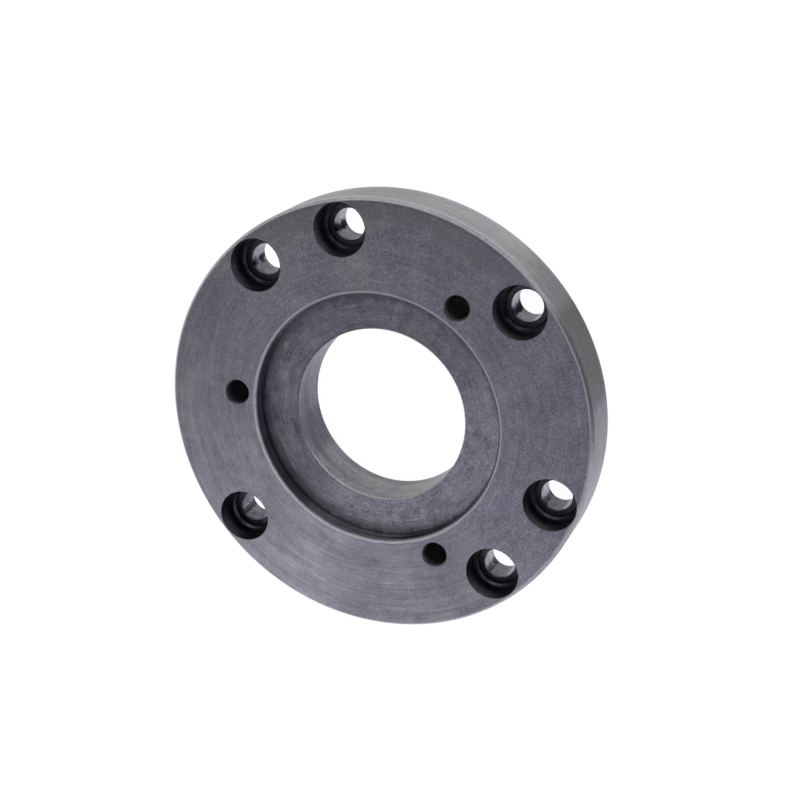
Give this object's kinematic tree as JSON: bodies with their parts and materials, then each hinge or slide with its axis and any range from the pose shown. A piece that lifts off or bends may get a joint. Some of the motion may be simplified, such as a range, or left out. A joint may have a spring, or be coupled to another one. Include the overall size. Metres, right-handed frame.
{
  "type": "chuck back plate",
  "caption": "Round turned back plate that carries a lathe chuck on a spindle flange: stepped bore, flange recess, counterbored screw holes and tapped holes on two circles.",
  "frame": {"origin": "centre of the face of the chuck register, on the bore's axis, where the plate lies", "axes": "+Z along the bore, out of the side that bolts to the spindle; +X through the screw hole that three-jaw and four-jaw chucks share"},
  "size_m": [0.125, 0.125, 0.019],
  "materials": {
    "back_plate": "fine turned, dull"
  },
  "bodies": {
    "root": {"back_plate": "back_plate"}
  },
  "joints": []
}
